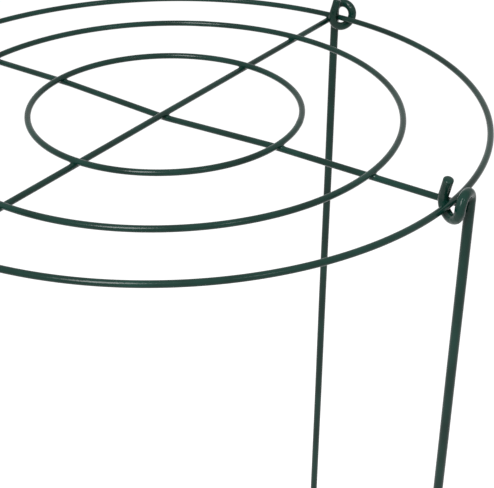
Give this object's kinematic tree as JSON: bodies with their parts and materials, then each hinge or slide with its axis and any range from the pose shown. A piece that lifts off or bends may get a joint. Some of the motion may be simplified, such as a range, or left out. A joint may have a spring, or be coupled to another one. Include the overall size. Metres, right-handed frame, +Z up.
{
  "type": "grow-through plant support",
  "caption": "Round wire grid of concentric rings on crossed wires, carried by straight wire legs that hook onto the outer ring, for stems to grow through.",
  "frame": {"origin": "on the ground, at the centre of the four leg ends, under the crossing of the cross wires", "axes": "+Z up along the legs; X along the cross wire that dips, Y along the straight one"},
  "size_m": [0.4416, 0.4416, 0.7653],
  "materials": {
    "green_coat": "glossy dark green coating on steel wire"
  },
  "bodies": {
    "grid": {"outer_ring": "green_coat", "middle_ring": "green_coat", "inner_ring": "green_coat", "upper_cross_wire": "green_coat", "lower_cross_wire": "green_coat"},
    "right_leg": {"right_leg": "green_coat"},
    "back_leg": {"back_leg": "green_coat"},
    "left_leg": {"left_leg": "green_coat"},
    "front_leg": {"front_leg": "green_coat"}
  },
  "joints": [
    {"name": "right_leg_swing", "type": "hinge", "parent": "grid", "child": "right_leg", "pos_m": [0.20281, -0.00873, 0.75], "axis": [-0.043, -0.9991, 0], "range_deg": [-20, 90]},
    {"name": "back_leg_swing", "type": "hinge", "parent": "grid", "child": "back_leg", "pos_m": [0.00873, 0.20281, 0.75], "axis": [0.9991, -0.043, 0], "range_deg": [-20, 90]},
    {"name": "left_leg_swing", "type": "hinge", "parent": "grid", "child": "left_leg", "pos_m": [-0.20281, 0.00873, 0.75], "axis": [0.043, 0.9991, 0], "range_deg": [-20, 90]},
    {"name": "front_leg_swing", "type": "hinge", "parent": "grid", "child": "front_leg", "pos_m": [-0.00873, -0.20281, 0.75], "axis": [-0.9991, 0.043, 0], "range_deg": [-20, 90]}
  ]
}
